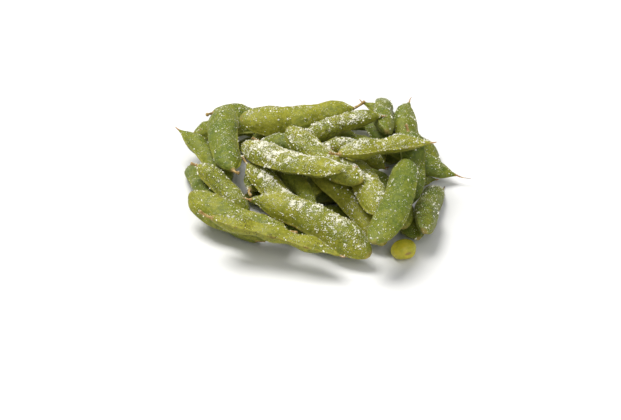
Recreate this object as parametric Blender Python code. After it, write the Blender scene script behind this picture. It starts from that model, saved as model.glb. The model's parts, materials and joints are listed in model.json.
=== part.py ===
"""A bundle of cooked edamame pods, heaped loose on a flat surface, with one shelled bean beside them.

Every pod is one closed solid: a flattened, gently curved hull with a swelling over each bean, a short stalk
at one end and a beak at the other. The heap is described from above, lowest pod first, by where each pod's
middle lies and which way it points. A pod is then lowered on to what is already there and tipped until it
rests, so heights and slopes follow from the pods below it.

Metres, +Z up. The origin is on the surface that the heap stands on, under the middle of its box.
"""

import math
from collections import namedtuple

import bpy
import numpy as np
from mathutils import Euler, Matrix, Vector
from mathutils.bvhtree import BVHTree

MM = 0.001

# ---- driving dimensions of one pod; its own length and width are in the list of pods
POD_THICKNESS = 0.0090  # from cheek to cheek, over a bean
WAIST_WIDTH = 0.90  # share of the width that is left between two beans
WAIST_THICKNESS = 0.66
STALK_RADIUS = 0.0008
CALYX_RADIUS = 0.0014
STALK_POINT = 0.0004  # the stalk's cut end bulges this far
FLAT_DEPTH = 0.00035  # pressed off the underside of a pod or bean that lies on the surface
FLAT_REACH = 0.035  # each bean of such a pod is level this far each way, as a share of the length
RING_SIDES = 10  # with points on both seams and a flat facet on each cheek
CHEEK = math.sin(math.radians(72))  # how much of the half thickness those facets reach
BEAN_SPAN = {2: (0.32, 0.68), 3: (0.25, 0.74)}  # first and last bean, as shares of the length
GIRTH = {"beak": (1.0, 0.84), "blunt": (0.88, 1.0)}  # share of the width at the first and last bean

# ---- the loose bean
BEAN_LENGTH = 0.0112
BEAN_WIDTH = 0.0098
BEAN_HEIGHT = 0.0092
BEAN_RINGS = 7

# ---- how the heap is built up
GAP = 0.0003  # clear space left wherever two pods touch
CELL = 0.0008  # side of one square of the height map
HEAP_REACH = 0.095  # the map covers this far each way from the middle
SAMPLES = 5  # points along a triangle's edge when a pod is laid on the map
START_PITCHES = [math.radians(a) for a in (-30, -20, -10, 0, 10, 20, 30)]
START_LEANS = [math.radians(a) for a in (-24, 0, 24)]
DESCENTS = 4  # so many of the best starts are followed down
FIRST_STEPS = (math.radians(6), math.radians(8), 0.0016, 0.0016, math.radians(3))  # pitch, roll, x, y, swing
ROUNDS = 9
STEP_SHRINK = 0.75
MOST_SHIFT = 0.0045  # a pod slides no further than this to find its rest
SLIDE_COST = 0.05  # height that a pod must win for each metre it slides
ROLL_COST = 0.006  # and for each radian that it rolls
SEARCH = 0.003  # a pod's exact rest is looked for this far above and below the map's answer
BISECTIONS = 10

# x, y: the middle, in mm; heading: the way the beak points, degrees from +X; length and width in mm; bow: how
# far the middle bulges sideways, in mm; roll: 0 lies on a cheek, 90 stands on a seam; tip: "beak" is drawn
# out, "blunt" is round; stalk: "whole" keeps its stub, "snapped" has lost it
Pod = namedtuple("Pod", "name x y heading length width beans bow roll tip stalk")

FLAT_ON_SURFACE = (
    Pod("pod_base_1", 4, 10, 14, 58, 14, 3, 3, 0, "beak", "whole"),
    Pod("pod_base_2", -12, 27, 168, 54, 14, 3, -3, 0, "blunt", "whole"),
    Pod("pod_base_3", -6, -8, 6, 56, 14, 3, -3, 0, "beak", "snapped"),
    Pod("pod_base_4", -40, 34, 12, 44, 13, 3, 3, 0, "blunt", "whole"),
    Pod("pod_base_5", 24, 32, 150, 52, 13, 3, 4, 0, "beak", "whole"),
    Pod("pod_base_6", 8, -26, -6, 56, 14, 3, 4, 0, "blunt", "whole"),
)

LEANING = (
    # inside, on the lowest pods
    Pod("pod_inner_1", -16, 4, 64, 54, 13, 3, 3, 5, "beak", "whole"),
    Pod("pod_inner_2", 1, 4, 250, 54, 13, 3, 3, 5, "blunt", "whole"),
    Pod("pod_inner_3", 18, 2, 66, 54, 14, 3, 3, 5, "beak", "snapped"),
    Pod("pod_inner_4", -6, 30, 14, 50, 13, 2, 3, 5, "beak", "snapped"),
    # round the outside, from the surface up on to the lowest pods
    Pod("pod_front_left_low", -40, -29, 132, 44, 12, 2, 2, 20, "blunt", "whole"),
    Pod("pod_front_green", -4, -38, -30, 46, 13, 2, 3, 10, "blunt", "whole"),
    Pod("pod_front_right_low", 42, -25, 101, 38, 12, 2, 2, 10, "beak", "snapped"),
    Pod("pod_left_tip_lower", -54, -4, 105, 46, 12, 2, 2, 12, "beak", "whole"),
    Pod("pod_left_tip_upper", -55, 10, 112, 48, 12, 3, -3, 10, "beak", "whole"),
    Pod("pod_back_low_left", -29, 46, 14, 52, 13, 2, 3, 8, "beak", "whole"),
    Pod("pod_left_back_steep", -43, 14, 92, 54, 14.5, 3, 4, 0, "blunt", "whole"),
    Pod("pod_back_low_middle", 10, 46, 172, 52, 13, 2, 3, 8, "blunt", "whole"),
    Pod("pod_back_low_right", 40, 36, 136, 52, 13, 3, -3, 10, "beak", "snapped"),
    Pod("pod_right_tip", 43, -3, 40, 42, 12, 2, 3, 10, "beak", "whole"),
    Pod("pod_right_tail", 40, 13, -33, 52, 13, 2, -4, 15, "beak", "snapped"),
    Pod("pod_right_outer", 50, -21, 74, 54, 13, 2, 3, 40, "beak", "snapped"),
    # higher up, seen between the pods of the crown
    Pod("pod_left_stalk", -44, -16, -50, 38, 11, 2, 3, 10, "blunt", "whole"),
    Pod("pod_centre_right", 34, -20, -62, 48, 13, 2, 3, 8, "blunt", "whole"),
    Pod("pod_back_tip_left", 28, 29, 88, 46, 12, 2, 3, 45, "beak", "snapped"),
    Pod("pod_back_tip_right", 40, 16, 102, 42, 13, 2, 3, 15, "beak", "snapped"),
    Pod("pod_right_dark", 47, -4, -83, 40, 12, 2, 3, 30, "beak", "whole"),
    Pod("pod_under_front", 13, -25, -43, 54, 14, 3, 4, 8, "blunt", "snapped"),
    Pod("pod_centre_blade", -7, -14, -56, 42, 11, 2, 3, 60, "beak", "snapped"),
    Pod("pod_front_left", -34, -33, 154, 56, 15, 2, 5, -28, "blunt", "whole"),
    Pod("pod_front_edge", -19, -50, -12, 68, 13, 3, 4, -22, "beak", "whole"),
    # crown
    Pod("pod_centre_left", -20, -17, -48, 44, 13, 2, 3, 10, "blunt", "whole"),
    Pod("pod_front_broad", -3, -41, 153, 64, 16, 3, -4, -35, "beak", "snapped"),
    Pod("pod_back_broad", -7, 34, 205, 62, 15.5, 3, 4, -35, "blunt", "whole"),
    Pod("pod_crown_dark", -9, 4, -36, 50, 12, 3, 3, 30, "beak", "whole"),
    Pod("pod_centre_short", 18, -23, -66, 42, 14, 2, 3, 8, "blunt", "snapped"),
    Pod("pod_right_upright", 32, -37, -106, 58, 15.5, 2, 4, 8, "blunt", "snapped"),
    Pod("pod_back_edge_long", 11, 11, 10, 44, 10, 2, 3, 70, "beak", "snapped"),
    Pod("pod_back_edge_short", 18, 1, 24, 36, 10, 2, 3, 50, "beak", "snapped"),
    Pod("pod_crown_right", 6, -9, -38, 48, 14, 3, -3, 15, "blunt", "snapped"),
    Pod("pod_right_crown", 30, -9, 27, 50, 13, 2, 4, -12, "beak", "whole"),
    Pod("pod_crown_long", -8, -14, -26, 64, 14, 3, -5, 10, "beak", "snapped"),
)

LOOSE_BEAN = ("loose_bean", 40, -50, 25)  # name, x and y in mm, heading

POD_GREEN = (0.30, 0.38, 0.09, 1)
BEAN_GREEN = (0.52, 0.50, 0.07, 1)


def clear_scene():
    for obj in list(bpy.data.objects):
        bpy.data.objects.remove(obj)


def plain_material(name, colour, roughness):
    material = bpy.data.materials.new(name)
    material.use_nodes = True
    shader = material.node_tree.nodes["Principled BSDF"]
    shader.inputs["Base Color"].default_value = colour
    shader.inputs["Roughness"].default_value = roughness
    shader.inputs["Metallic"].default_value = 0.0
    return material


# ---- shape of one pod


def swellings(pod, lies_flat):
    """(share of the length, width share, thickness share) over each bean and each waist between two."""
    first, last = BEAN_SPAN[pod.beans]
    near_stalk, near_tip = GIRTH[pod.tip]
    found = []
    steps = 2 * pod.beans - 2
    for k in range(steps + 1):
        at = first + (last - first) * k / steps
        girth = near_stalk + (near_tip - near_stalk) * k / steps
        if k % 2:
            found.append((at, girth * WAIST_WIDTH, girth * WAIST_THICKNESS))
        elif lies_flat:
            found += [(at - FLAT_REACH, girth, 1), (at + FLAT_REACH, girth, 1)]
        else:
            found.append((at, girth, girth))
    return found


def pod_stations(pod, lies_flat):
    """(share of the length, half width, half thickness) from the stalk's cut end to the beak."""
    wide, thick = pod.width * MM / 2, POD_THICKNESS / 2 / CHEEK
    rows = []
    if pod.stalk == "whole":
        rows += [(0.0, STALK_RADIUS, STALK_RADIUS), (0.055, STALK_RADIUS, STALK_RADIUS)]
        rows += [(0.085, CALYX_RADIUS, CALYX_RADIUS), (0.145, 0.62 * wide, 0.52 * thick)]
    else:
        rows += [(0.02, 0.30 * wide, 0.28 * thick), (0.11, 0.72 * wide, 0.58 * thick)]
    rows += [(at, w * wide, t * thick) for at, w, t in swellings(pod, lies_flat)]
    if pod.tip == "blunt":
        rows += [(0.885, 0.80 * wide, 0.64 * thick), (0.965, 0.42 * wide, 0.34 * thick)]
    else:
        rows += [(0.86, 0.58 * wide, 0.46 * thick), (0.94, 0.22 * wide, 0.22 * thick)]
    return rows


def pod_line(pod, at):
    """The pod's middle line in its own frame: along X, bowed sideways in the plane of its seams."""
    length, bow = pod.length * MM, pod.bow * MM
    across = 2 * at - 1
    return Vector((across * length / 2, bow * (1 / 3 - across * across), 0))


def ring(pod, at, half_width, half_thickness):
    middle = pod_line(pod, at)
    along = (pod_line(pod, at + 0.01) - pod_line(pod, at - 0.01)).normalized()
    side = Vector((-along.y, along.x, 0))
    points = []
    for k in range(RING_SIDES):
        turn = math.tau * k / RING_SIDES
        lift = Vector((0, 0, half_thickness * math.sin(turn)))
        points.append(middle + side * (half_width * math.cos(turn)) + lift)
    return points


def tube_faces(rings, sides):
    """Triangles of a closed tube: point 0, the rings in turn, then one last point."""
    faces = []
    last = 1 + rings * sides
    for k in range(sides):
        after = (k + 1) % sides
        faces.append((0, 1 + after, 1 + k))
        for r in range(rings - 1):
            here, there = 1 + r * sides, 1 + (r + 1) * sides
            faces.append((here + k, here + after, there + after))
            faces.append((here + k, there + after, there + k))
        faces.append((last - sides + k, last - sides + after, last))
    return faces


def pod_shape(pod, lies_flat=False):
    """(points, triangles) of a pod in its own frame, stalk towards -X."""
    rows = pod_stations(pod, lies_flat)
    points = [pod_line(pod, rows[0][0] - STALK_POINT / (pod.length * MM))]
    for at, half_width, half_thickness in rows:
        points += ring(pod, at, half_width, half_thickness)
    points.append(pod_line(pod, 1.0))
    return points, tube_faces(len(rows), RING_SIDES)


def flattened(points):
    """The underside pressed flat, as where a soft pod lies on the surface."""
    floor = min(p.z for p in points) + FLAT_DEPTH
    return [Vector((p.x, p.y, max(p.z, floor))) for p in points]


def bean_shape():
    """A shelled bean: an egg-shaped ball, a little flat underneath."""
    points = [Vector((-BEAN_LENGTH / 2, 0, 0))]
    for r in range(1, BEAN_RINGS + 1):
        angle = math.pi * r / (BEAN_RINGS + 1)
        x, radius = -math.cos(angle) * BEAN_LENGTH / 2, math.sin(angle)
        for k in range(RING_SIDES):
            turn = math.tau * k / RING_SIDES
            y = radius * math.cos(turn) * BEAN_WIDTH / 2
            points.append(Vector((x, y, radius * math.sin(turn) * BEAN_HEIGHT / 2)))
    points.append(Vector((BEAN_LENGTH / 2, 0, 0)))
    return flattened(points), tube_faces(BEAN_RINGS, RING_SIDES)


# ---- laying the heap


def triangle_weights(samples):
    """Corner weights that spread points evenly over a triangle."""
    steps = range(samples + 1)
    pairs = [(i / samples, j / samples) for i in steps for j in steps if i + j <= samples]
    return np.array([(1 - u - v, u, v) for u, v in pairs])


def surface_samples(points, faces):
    corners = np.array(points)[np.array(faces)]
    return np.einsum("sc,fcx->fsx", triangle_weights(SAMPLES), corners).reshape(-1, 3)


class Heap:
    """What has been laid so far: its top as a height map, and each piece's surface."""

    def __init__(self):
        cells = int(2 * HEAP_REACH / CELL)
        self.top = np.zeros((cells, cells))
        self.trees = []

    def cells(self, places):
        at = ((places[:, :2] + HEAP_REACH) / CELL).astype(int)
        return tuple(np.clip(at, 0, len(self.top) - 1).T)

    def resting_height(self, samples, rotation, x, y):
        placed = samples @ np.array(rotation).T + (x, y, 0)
        return float((self.top[self.cells(placed)] - placed[:, 2]).max())

    def touches(self, points, faces, matrix):
        tree = BVHTree.FromPolygons([matrix @ p for p in points], faces)
        return any(tree.overlap(other) for other in self.trees)

    def add(self, points, faces, samples, matrix):
        placed = samples @ np.array(matrix.to_3x3()).T + np.array(matrix.translation)
        np.maximum.at(self.top, self.cells(placed), placed[:, 2])
        self.trees.append(BVHTree.FromPolygons([matrix @ p for p in points], faces))


def turned(heading, pitch, roll):
    return Euler((roll, -pitch, heading), "XYZ").to_matrix()


def settle(heap, samples, pod):
    """The pod's place and turn once it has tipped, rolled and slid a little to its lowest rest."""
    heading, roll = math.radians(pod.heading), math.radians(pod.roll)
    x, y = pod.x * MM, pod.y * MM

    def cost(pose):
        slid = math.hypot(pose[2] - x, pose[3] - y)
        if slid > MOST_SHIFT:
            return math.inf
        turn = turned(heading + pose[4], pose[0], pose[1])
        effort = SLIDE_COST * slid + ROLL_COST * abs(pose[1] - roll)
        return heap.resting_height(samples, turn, pose[2], pose[3]) + effort

    starts = [(pitch, roll + lean, x, y, 0.0) for pitch in START_PITCHES for lean in START_LEANS]
    found = []
    for pose in sorted(starts, key=cost)[:DESCENTS]:
        lowest, steps = cost(pose), FIRST_STEPS
        for _ in range(ROUNDS):
            for k, step in enumerate(steps):
                for change in (step, -step):
                    trial = (*pose[:k], pose[k] + change, *pose[k + 1 :])
                    height = cost(trial)
                    if height < lowest:
                        pose, lowest = trial, height
            steps = tuple(step * STEP_SHRINK for step in steps)
        found.append((lowest, pose))
    pitch, lean, x, y, swing = min(found)[1]
    rotation = turned(heading + swing, pitch, lean)
    return rotation, Vector((x, y, heap.resting_height(samples, rotation, x, y)))


def lowered(heap, points, faces, rotation, place):
    """The matrix that sets the pod down on its neighbours, with GAP to spare."""

    def at(height):
        return Matrix.Translation((place.x, place.y, height)) @ rotation.to_4x4()

    floor = -min((rotation @ p).z for p in points)
    start = max(floor, place.z)
    low, high = max(floor, start - SEARCH), start + SEARCH
    while heap.touches(points, faces, at(high)):
        high += SEARCH
    if not heap.touches(points, faces, at(low)):
        return at(low)
    for _ in range(BISECTIONS):
        middle = (low + high) / 2
        if heap.touches(points, faces, at(middle)):
            low = middle
        else:
            high = middle
    return at(high + GAP)


def add_object(name, points, faces, matrix, material):
    mesh = bpy.data.meshes.new(name)
    mesh.from_pydata(points, [], faces)
    mesh.materials.append(material)
    mesh.shade_smooth()
    obj = bpy.data.objects.new(name, mesh)
    bpy.context.scene.collection.objects.link(obj)
    obj.matrix_world = matrix
    return obj


def build_heap():
    green = plain_material("pod_green", POD_GREEN, 0.6)
    yellow = plain_material("bean_green", BEAN_GREEN, 0.5)
    heap = Heap()
    made = []

    def keep(name, points, faces, matrix, material):
        heap.add(points, faces, surface_samples(points, faces), matrix)
        made.append(add_object(name, points, faces, matrix, material))

    for pod in FLAT_ON_SURFACE:
        points, faces = pod_shape(pod, lies_flat=True)
        points = flattened(points)
        rotation = turned(math.radians(pod.heading), 0, 0)
        place = Vector((pod.x * MM, pod.y * MM, 0))
        keep(pod.name, points, faces, lowered(heap, points, faces, rotation, place), green)

    name, x, y, heading = LOOSE_BEAN
    points, faces = bean_shape()
    rotation = turned(math.radians(heading), 0, 0)
    place = Vector((x * MM, y * MM, 0))
    keep(name, points, faces, lowered(heap, points, faces, rotation, place), yellow)

    for pod in LEANING:
        points, faces = pod_shape(pod)
        rotation, place = settle(heap, surface_samples(points, faces), pod)
        keep(pod.name, points, faces, lowered(heap, points, faces, rotation, place), green)
    return made


def centre_on_origin(objects):
    """Slides the whole heap so that its box is centred over the origin."""
    corners = [obj.matrix_world @ v.co for obj in objects for v in obj.data.vertices]
    middle = [(max(c[k] for c in corners) + min(c[k] for c in corners)) / 2 for k in (0, 1)]
    for obj in objects:
        obj.location -= Vector((*middle, 0))


clear_scene()
centre_on_origin(build_heap())
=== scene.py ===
"""Looks of the edamame pod bundle: a fine mesh round each packed pod, coarse salt, short hairs, the
shelled bean, their materials, a pale floor, soft light and the camera.

Each CAD pod is a coarse closed tube of ten-sided rings. Its middle line, widths and thicknesses are read
back from those rings, and a fine pod is built over the same line. Metres, +Z up.
"""

import json
import math

import bpy
import numpy as np
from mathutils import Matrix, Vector
from mathutils.bvhtree import BVHTree

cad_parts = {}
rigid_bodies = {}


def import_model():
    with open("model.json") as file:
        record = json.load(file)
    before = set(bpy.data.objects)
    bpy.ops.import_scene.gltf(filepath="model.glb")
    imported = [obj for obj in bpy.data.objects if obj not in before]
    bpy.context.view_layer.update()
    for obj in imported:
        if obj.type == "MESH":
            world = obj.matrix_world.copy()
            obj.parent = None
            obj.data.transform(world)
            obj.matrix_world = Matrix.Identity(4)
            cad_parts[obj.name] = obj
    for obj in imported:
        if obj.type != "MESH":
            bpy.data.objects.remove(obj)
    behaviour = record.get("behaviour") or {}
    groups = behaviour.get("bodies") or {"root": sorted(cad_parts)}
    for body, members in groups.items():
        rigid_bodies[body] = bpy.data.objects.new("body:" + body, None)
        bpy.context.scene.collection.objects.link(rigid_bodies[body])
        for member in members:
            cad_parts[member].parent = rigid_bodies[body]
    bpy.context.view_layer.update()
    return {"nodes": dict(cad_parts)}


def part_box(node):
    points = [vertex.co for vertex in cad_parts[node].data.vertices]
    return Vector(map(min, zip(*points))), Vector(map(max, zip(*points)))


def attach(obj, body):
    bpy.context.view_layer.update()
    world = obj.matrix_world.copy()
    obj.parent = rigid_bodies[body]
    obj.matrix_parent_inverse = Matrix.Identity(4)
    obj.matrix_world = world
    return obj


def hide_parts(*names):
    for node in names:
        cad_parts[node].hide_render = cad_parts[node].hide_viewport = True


MM = 0.001
POD_SEED, SALT_SEED, HAIR_SEED = 100, 7, 11

# ---- camera
CAMERA_ELEVATION = math.radians(36.5)
CAMERA_LENS = 180.0  # mm, long enough that the heap is seen with little perspective
CAMERA_SENSOR = 36.0
CAMERA_SEES_TO = 20  # m
VIEW_WIDTH = 0.292  # how wide the picture is, at the heap
AIM_RIGHT, AIM_UP = -0.0035, -0.0069  # from the origin, along the picture

# ---- stage: each light's place, size, watts and colour
KEY_LIGHT = ((-0.30, 0.20, 0.93), 0.55, 11.0, (1, 0.99, 0.96))
FILL_LIGHT = ((0.30, -0.70, 0.72), 0.8, 3.6, (0.98, 0.99, 1))
SKY_STRENGTH = 0.31
FLOOR_HALF, FLOOR_HEIGHT = 3, -0.0001

# ---- reading the CAD pods
WELD_REACH = 1e-5  # corners that are nearer than this are one
RING_SIDES = 10
SIDE_OF_RING = math.sin(math.radians(72))  # share of the half thickness that a CAD ring reaches
STALK_RINGS = 2  # how many rings a stalk has before the hull begins
STALK_HALF_WIDTH = 1.0 * MM  # a first ring narrower than this is a stalk's
BLUNT_SHARE = 0.3  # a last ring wider than this share of the widest is a blunt end's, which has no beak

# ---- how finely a pod is meshed
ALONG, AROUND = 132, 64
HULL_FACES = (ALONG - 1) * AROUND + 2 * AROUND  # of a pod's green hull, which comes first in its mesh
END_CROWDING = 0.38  # how much closer the rings stand at the ends

# ---- shape of a pod's cross-section and surface
CAP_REACH = 0.9 * MM  # how far the stalk end of the hull stands off its first ring
FULL_BEAN, THIN_WAIST = 1.38, 1.9  # how lens-like the section is over a bean and between two
MOST_DRAWN_IN = 0.34  # share of the thickness lost at the deepest waist
SCALLOP = 0.05  # how much further the back edge draws in at a waist
POINTED_FROM = (0.25, 0.4)  # share of the way where a pod turns from a round end to a pointed one
ENDS_WITHIN, END_POWER = (0.12, 0.9), 0.4  # the section loses its lens shape towards the two ends
RIB_HEIGHT, RIB_REACH = 0.00036, 0.16  # the raised seam on the inner edge; reach in radians
BACK_RIB_HEIGHT = 0.00016
FURROW, BACK_FURROW = (0.45, 2.4), (0.4, 2.3)  # beside a seam: share of its height, and where, in reaches
HOOK_FROM, HOOK_MM, BLUNT_HOOK = 0.86, (0.4, 1.5), 0.3  # how a beak bends, and how much less a blunt end does
MOST_TWIST = 5  # degrees each way
DENT_DEPTH, DENT_SIZE = 0.00022, 0.0085
WRINKLE_DEPTH, WRINKLE_SIZE, WRINKLE_PATCH = 0.00007, 0.0016, 0.007
RELIEF_WITHIN = (0.08, 0.93)  # share of the way where seams, dents and wrinkles are at their full height

# what the material is told: how near a seam is, in radians, and how dry the skin is
SEAM_REACH, BACK_SEAM_REACH, BACK_SEAM = 0.2, 0.16, 0.6
DRY_FROM, RAGGED_FROM, RAGGED = 0.965, 0.92, 0.25
BLOTCH_SIZE = 0.003  # of the ragged edge of the dried beak
BLUNT_DRY = 0.25  # how much of that a blunt end has
STALK_END_DRY, SCAR_DRY, SCAR_REACH = 0.8, 0.4, 0.03

# how much of the drawing-in between the beans shows
WAVY = {
    "pod_front_edge": 1.0,
    "pod_front_left": 0.75,
    "pod_back_broad": 0.8,
    "pod_right_crown": 0.7,
    "pod_right_outer": 0.7,
    "pod_crown_long": 0.3,
    "pod_front_broad": 0.35,
    "pod_right_upright": 0.25,
    "pod_left_back_steep": 0.25,
    "pod_centre_short": 0.3,
}
USUAL_WAVY = 0.5

# how green each pod is: 0 yellowish, 1 deep green
GREEN = {
    "pod_right_upright": 0.80,
    "pod_left_back_steep": 0.72,
    "pod_left_tip_upper": 0.62,
    "pod_left_tip_lower": 0.75,
    "pod_front_green": 0.95,
    "pod_front_left_low": 0.60,
    "pod_front_right_low": 0.80,
    "pod_right_tail": 0.85,
    "pod_right_dark": 0.85,
    "pod_right_tip": 0.70,
    "pod_right_outer": 0.70,
    "pod_crown_dark": 0.60,
    "pod_back_tip_left": 0.62,
    "pod_back_tip_right": 0.60,
    "pod_centre_blade": 0.40,
    "pod_centre_right": 0.62,
    "pod_front_left": 0.42,
    "pod_under_front": 0.05,
    "pod_centre_short": 0.12,
    "pod_centre_left": 0.22,
    "pod_crown_right": 0.22,
    "pod_front_broad": 0.24,
    "pod_crown_long": 0.16,
    "pod_back_broad": 0.12,
    "pod_right_crown": 0.12,
    "pod_front_edge": 0.10,
    "pod_back_edge_long": 0.25,
    "pod_back_edge_short": 0.30,
    "pod_left_stalk": 0.30,
}
USUAL_GREEN = 0.55

# length of the dried wisp on a pod's beak, in mm
WISP = {"pod_right_tail": 6.5, "pod_front_broad": 2.6, "pod_back_tip_right": 3.0, "pod_back_tip_left": 2.4}
USUAL_WISP = 1.6
WISP_RADII = (0.42, 0.13)  # at the beak and at the tip, in mm

# the stalk and the calyx
STALK_RADIUS, STALK_NECK, STALK_FLARE = 0.86, 0.34, 0.10  # mm at the hull, lost half way, gained at the tip
STALK_DRY = 0.72  # 0 is green hull and 1 is husk
SEPALS = 5
SEPAL_LENGTH, SEPAL_WIDTH = (1.6, 3.4), (1.1, 1.7)  # mm
SEPAL_THICKNESS = 0.00011  # half of it, at the root
LEFT_CALYX = 0.3  # chance that a pod without a stalk kept its calyx

# the shelled bean
BEAN_RINGS, BEAN_SIDES = 60, 72
BEAN_POWERS = (0.86, 0.76, 0.84)  # along, girth and section: below 1 is boxier than a round
HILUM_DEPTH, SPLIT_DEPTH = 0.00035, 0.00028
LUMP_SIZE, LUMP_HEIGHT = 0.006, 0.00016
GRAIN_SIZE, GRAIN_HEIGHT = 0.0012, 0.00002

# how freckled with brown each pod is, and how much painted shadow of its salt crystals it has among the
# freckles
FRECKLED_AND_SHADED = {
    "pod_right_outer": 1.0,
    "pod_front_edge": 0.9,
    "pod_back_broad": 0.35,
    "pod_left_stalk": 0.8,
    "pod_centre_right": 0.6,
    "pod_back_edge_short": 1.0,
    "pod_back_edge_long": 1.0,
    "pod_crown_long": 0.8,
    "pod_crown_right": 0.8,
    "pod_front_broad": 0.65,
    "pod_centre_left": 0.7,
    "pod_right_crown": 0.5,
    "pod_front_left": 0.45,
    "pod_right_tail": 0.6,
    "pod_right_upright": 0.1,
    "pod_left_back_steep": 0.1,
}
USUAL_FRECKLED_AND_SHADED = 0.3

# how salty each pod is; the rest have USUAL_SALT
SALT = {
    "pod_crown_long": 1.5,
    "pod_front_broad": 1.15,
    "pod_back_broad": 0.3,
    "pod_crown_right": 1.5,
    "pod_back_edge_long": 1.8,
    "pod_back_edge_short": 1.8,
    "pod_centre_left": 1.5,
    "pod_centre_short": 1.4,
    "pod_right_crown": 1.2,
    "pod_left_stalk": 1.0,
    "pod_under_front": 1.5,
    "pod_front_edge": 0.35,
    "pod_front_left": 0.5,
    "pod_right_upright": 0.2,
    "pod_left_back_steep": 0.22,
    "pod_left_tip_upper": 0.3,
    "pod_left_tip_lower": 0.3,
    "pod_right_outer": 0.45,
    "pod_front_green": 0.25,
}
USUAL_SALT = 0.5
# handfuls that landed together: x, y, reach in mm, and how many times more salt
HANDFULS = (
    (-24, -5, 12, 2.6),
    (-12, -9, 9, 1.5),
    (3, -41, 13, 1.8),
    (-31, 24, 9, 3.5),
    (15, 14, 13, 1.3),
    (25, -12, 9, 0.5),
    (9, -10, 10, 0.6),
    (18, -20, 7, 1.5),
    (-18, -25, 9, 1.3),
)
CRYSTALS, DUST = 6600, 16000
CRYSTALS_GATHERED, DUST_GATHERED = 1.1, 0.6  # 0 spreads them evenly, 1 as the salt fell
CRYSTAL_SIZE, CRYSTAL_SPREAD = 0.00029, 0.34  # the middle size, and how widely the others vary
SMALLEST_CRYSTAL, LARGEST_CRYSTAL = 0.00018, 0.00075
DUST_SIZES = (0.00012, 0.00028)
CRYSTAL_RAISED, DUST_RAISED = 0.34, 0.3  # how far its middle stands off the pod, as a share of its size
CLUMP_SIZE, SMALL_CLUMP_SIZE, CLUMPING = 0.009, 0.003, 1.1
LEAST_FACING = 0.05  # how far a face must look up to hold salt
SPARE_TRIES = 1.7  # places drawn for each one wanted, since covered ones are dropped
COVER_CLEARANCE, COVER_REACH = 1.2 * MM, 0.1  # where a crystal looks up for a pod above it
SIFTED_THROUGH = 0.04  # share of the salt that reaches a covered place
SALT_JITTER = 0.22 * MM

# the fine hairs of the pods
HAIRS_PER_MM2 = 1.05
HAIR_LENGTH, HAIR_RADIUS, HAIR_ROOT_DEPTH = 0.00075, 0.000028, 0.00006
HAIR_LEAN = 0.42
HAIR_JITTER = 0.1 * MM
HAIR_CLEARANCE = 0.00002  # above the floor
MOST_HAIRS_IN_A_PIECE = 48000

# ---- colours, in linear RGB; where there are two, a noise runs from the first to the second
YELLOWISH_GREEN = (0.215, 0.220, 0.013), (0.355, 0.345, 0.030)
MIDDLE_GREEN = (0.132, 0.158, 0.010), (0.242, 0.262, 0.022)
DEEP_GREEN = (0.072, 0.112, 0.008), (0.155, 0.198, 0.018)
FIBRE_COLOUR = (0.40, 0.41, 0.08)
SEAM_COLOUR = (0.38, 0.355, 0.05)
RUST_COLOUR = (0.17, 0.085, 0.020)
# brown of the freckles, also used as painted shadow round the salt crystals
FRECKLE_AND_SALT_SHADOW_COLOUR = (0.075, 0.048, 0.010)
# pale specks: fine salt dust and hair roots, and painted glints of the hairs
SALT_DUST_AND_GLINT_COLOUR = (0.52, 0.52, 0.17)
HUSK_COLOURS = (0.33, 0.16, 0.055), (0.66, 0.44, 0.21)
BEAN_COLOURS = (0.54, 0.46, 0.025), (0.38, 0.37, 0.022)
BEAN_FLECKS = (0.62, 0.56, 0.07)
HILUM_COLOUR = (0.30, 0.17, 0.05)
SALT_COLOURS = (0.82, 0.80, 0.62), (0.97, 0.95, 0.84)
HAIR_COLOURS = (0.28, 0.31, 0.06), (0.46, 0.47, 0.14)
FLOOR_COLOURS = (0.80, 0.80, 0.80), (0.84, 0.84, 0.84)


# ---- small helpers


def unit(ways):
    """Directions scaled to unit length."""
    return ways / np.linalg.norm(ways, axis=-1, keepdims=True)


def in_scene(name, data):
    """A new object of `data`, in the scene."""
    obj = bpy.data.objects.new(name, data)
    bpy.context.scene.collection.objects.link(obj)
    return obj


def face_data(mesh):
    """(centres, normals, areas) of a mesh's faces."""
    centres, normals, areas = (np.empty(len(mesh.polygons) * k) for k in (3, 3, 1))
    mesh.polygons.foreach_get("center", centres)
    mesh.polygons.foreach_get("normal", normals)
    mesh.polygons.foreach_get("area", areas)
    return centres.reshape(-1, 3), normals.reshape(-1, 3), areas


# ---- reading the CAD


def welded(obj):
    """(places, triangles) of a CAD mesh with the corners that share a place made one."""
    mesh = obj.data
    places = np.empty(len(mesh.vertices) * 3, np.float32)
    mesh.vertices.foreach_get("co", places)
    places = places.reshape(-1, 3).astype(float)
    keys = np.round(places / WELD_REACH).astype(np.int64)
    _, first, index = np.unique(keys, axis=0, return_index=True, return_inverse=True)
    mesh.calc_loop_triangles()
    corners = np.empty(len(mesh.loop_triangles) * 3, np.int32)
    mesh.loop_triangles.foreach_get("vertices", corners)
    return places[first], index.reshape(-1)[corners.reshape(-1, 3)]


def rings_of(obj):
    """(stalk end, rings of ten places, beak end) of a CAD pod."""
    places, triangles = welded(obj)
    near = [set() for _ in places]
    for triangle in triangles.tolist():
        for corner in triangle:
            near[corner].update(triangle)
    for own, found in enumerate(near):
        found.discard(own)

    def layers(start):
        seen, front, found = {start}, near[start], []
        while front:
            found.append(sorted(front))
            seen |= front
            front = set().union(*(near[i] for i in front)) - seen
        return found

    def reach(pole):
        """How far an end point stands off its first ring: the stalk's is almost flat."""
        return np.linalg.norm(places[pole] - places[sorted(near[pole])].mean(0))

    poles = sorted((i for i, found in enumerate(near) if len(found) == RING_SIDES), key=reach)
    rows = layers(poles[0])[:-1]
    return places[poles[0]], [places[row] for row in rows], places[poles[1]]


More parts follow.
